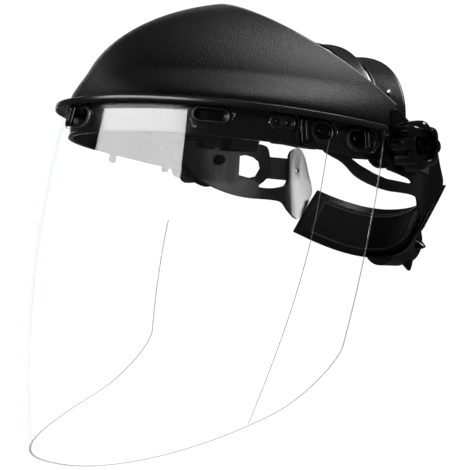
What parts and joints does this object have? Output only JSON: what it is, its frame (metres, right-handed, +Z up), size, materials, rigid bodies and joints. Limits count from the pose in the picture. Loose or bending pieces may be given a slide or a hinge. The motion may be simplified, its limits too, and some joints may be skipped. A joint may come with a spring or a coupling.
{
  "type": "face shield",
  "caption": "Tilting safety face shield: a hard crown and a clear wrapped window on a headgear with a nape ratchet.",
  "frame": {"origin": "middle of the axis the shield tilts about, level with the ears, inside the wearer's head", "axes": "+Z up, -Y is the way the wearer looks, +X is toward the wearer's left"},
  "size_m": [0.238, 0.2804, 0.2749],
  "materials": {
    "crown_plastic": "pebbled matt charcoal",
    "lip_plastic": "satin dark grey",
    "band_plastic": "satin black",
    "clear_window": "clear, glossy, both faces polished",
    "frame_plastic": "semi-gloss black",
    "grey_plastic": "satin grey",
    "strap_plastic": "satin black",
    "knob_plastic": "glossy black",
    "pad_foam": "soft dark grey foam with a stitched edge",
    "steel": "blackened steel"
  },
  "bodies": {
    "headgear": {"front_headband": "frame_plastic", "sweatband": "pad_foam", "side_arm_left": "frame_plastic", "side_arm_right": "frame_plastic", "bridge_tab_left": "grey_plastic", "bridge_tab_right": "grey_plastic", "pivot_post_left": "frame_plastic", "pivot_post_right": "frame_plastic", "pivot_bolt_left": "steel", "pivot_bolt_right": "steel", "top_strap_front": "strap_plastic", "top_strap_rear": "strap_plastic", "top_pin_left": "steel", "top_pin_right": "steel"},
    "shield": {"crown": "crown_plastic", "rim_lip": "lip_plastic", "brow_band": "band_plastic", "window": "clear_window", "window_hook_centre": "band_plastic", "window_hook_left_1": "band_plastic", "window_hook_left_2": "band_plastic", "window_hook_right_1": "band_plastic", "window_hook_right_2": "band_plastic", "tension_washer_left": "steel", "tension_washer_right": "steel"},
    "tension_knob_left": {"tension_knob_left": "knob_plastic"},
    "tension_knob_right": {"tension_knob_right": "knob_plastic"},
    "nape_unit": {"nape_band": "frame_plastic", "nape_pad": "pad_foam", "rack_strap_left": "strap_plastic", "rack_strap_right": "strap_plastic", "ratchet_housing": "grey_plastic"},
    "ratchet_knob": {"ratchet_knob": "knob_plastic"}
  },
  "joints": [
    {"name": "shield_tilt", "type": "hinge", "parent": "headgear", "child": "shield", "pos_m": [0, 0, 0], "axis": [-1, 0, 0], "range_deg": [0, 90]},
    {"name": "tension_knob_left_turn", "type": "hinge", "parent": "headgear", "child": "tension_knob_left", "pos_m": [0.11, 0, 0], "axis": [1, 0, 0], "range_deg": [0, 270]},
    {"name": "tension_knob_right_turn", "type": "hinge", "parent": "headgear", "child": "tension_knob_right", "pos_m": [-0.11, 0, 0], "axis": [-1, 0, 0], "range_deg": [0, 270]},
    {"name": "nape_slide", "type": "slide", "parent": "headgear", "child": "nape_unit", "axis": [0, 1, 0], "range_m": [0, 0.01]},
    {"name": "ratchet_knob_turn", "type": "hinge", "parent": "nape_unit", "child": "ratchet_knob", "pos_m": [0, 0.098, -0.0515], "axis": [0, 1, 0], "range_deg": [0, 131]}
  ],
  "couplings": [
    {"joint": "ratchet_knob_turn", "follows": "nape_slide", "rad_per_m": 227.3}
  ]
}
